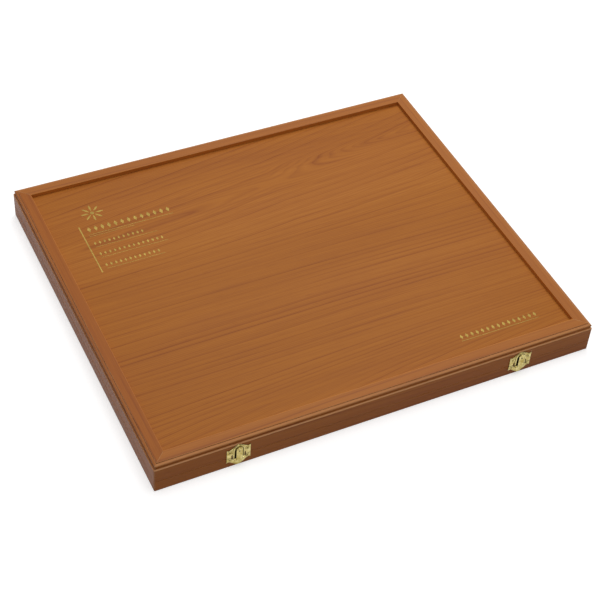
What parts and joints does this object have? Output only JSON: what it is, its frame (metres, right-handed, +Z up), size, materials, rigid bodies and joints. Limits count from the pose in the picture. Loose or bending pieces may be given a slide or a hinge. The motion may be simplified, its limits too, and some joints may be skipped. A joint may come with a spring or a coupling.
{
  "type": "pastel case",
  "caption": "Flat hinged wooden case with a moulded lid and two small front catches, holding rows of pastel sticks in slotted trays.",
  "frame": {"origin": "middle of the case's underside, where it rests", "axes": "+X along the front, +Y to the hinged back, +Z up"},
  "size_m": [0.4, 0.3526, 0.0296],
  "materials": {
    "stained_wood": "satin lacquer over red-brown stain, grain along each rail",
    "veneered_panel": "satin lacquer over orange-brown veneer, grain along the case",
    "plain_board": "bare thin board",
    "tray_plastic": "matt moulded plastic",
    "pastel": "dry chalky pigment, a different colour for each stick",
    "foam": "soft open-cell foam",
    "brass": "bright stamped brass, slightly worn"
  },
  "bodies": {
    "base": {"base_back_rail": "stained_wood", "base_floor_panel": "plain_board", "base_front_rail": "stained_wood", "base_left_rail": "stained_wood", "base_right_rail": "stained_wood", "catch_left_hinge_pin": "brass", "catch_left_lower_plate": "brass", "catch_lower_nails": "brass", "catch_right_hinge_pin": "brass", "catch_right_lower_plate": "brass", "hinge_base_screws": "brass", "hinge_left_base_leaf": "brass", "hinge_left_pin": "brass", "hinge_right_base_leaf": "brass", "hinge_right_pin": "brass", "pastel_row_1": "pastel", "pastel_row_2": "pastel", "pastel_row_3": "pastel", "pastel_row_4": "pastel", "pastel_tray_1": "tray_plastic", "pastel_tray_2": "tray_plastic", "pastel_tray_3": "tray_plastic", "pastel_tray_4": "tray_plastic", "tray_spacer_slats": "plain_board"},
    "lid": {"catch_left_stud": "brass", "catch_left_upper_plate": "brass", "catch_right_stud": "brass", "catch_right_upper_plate": "brass", "catch_upper_nails": "brass", "hinge_left_lid_leaf": "brass", "hinge_lid_screws": "brass", "hinge_right_lid_leaf": "brass", "lid_back_rail": "stained_wood", "lid_foam_pad": "foam", "lid_front_rail": "stained_wood", "lid_left_rail": "stained_wood", "lid_panel": "veneered_panel", "lid_right_rail": "stained_wood"},
    "left_tongue": {"catch_left_tongue": "brass"},
    "right_tongue": {"catch_right_tongue": "brass"}
  },
  "joints": [
    {"name": "lid_hinge", "type": "hinge", "parent": "base", "child": "lid", "pos_m": [0, 0.1747, 0.0111], "axis": [-1, 0, 0], "range_deg": [0, 135]},
    {"name": "left_tongue_pivot", "type": "hinge", "parent": "base", "child": "left_tongue", "pos_m": [-0.1292, -0.1743, 0.0096], "axis": [1, 0, 0], "range_deg": [0, 120]},
    {"name": "right_tongue_pivot", "type": "hinge", "parent": "base", "child": "right_tongue", "pos_m": [0.1292, -0.1743, 0.0096], "axis": [1, 0, 0], "range_deg": [0, 120]}
  ]
}
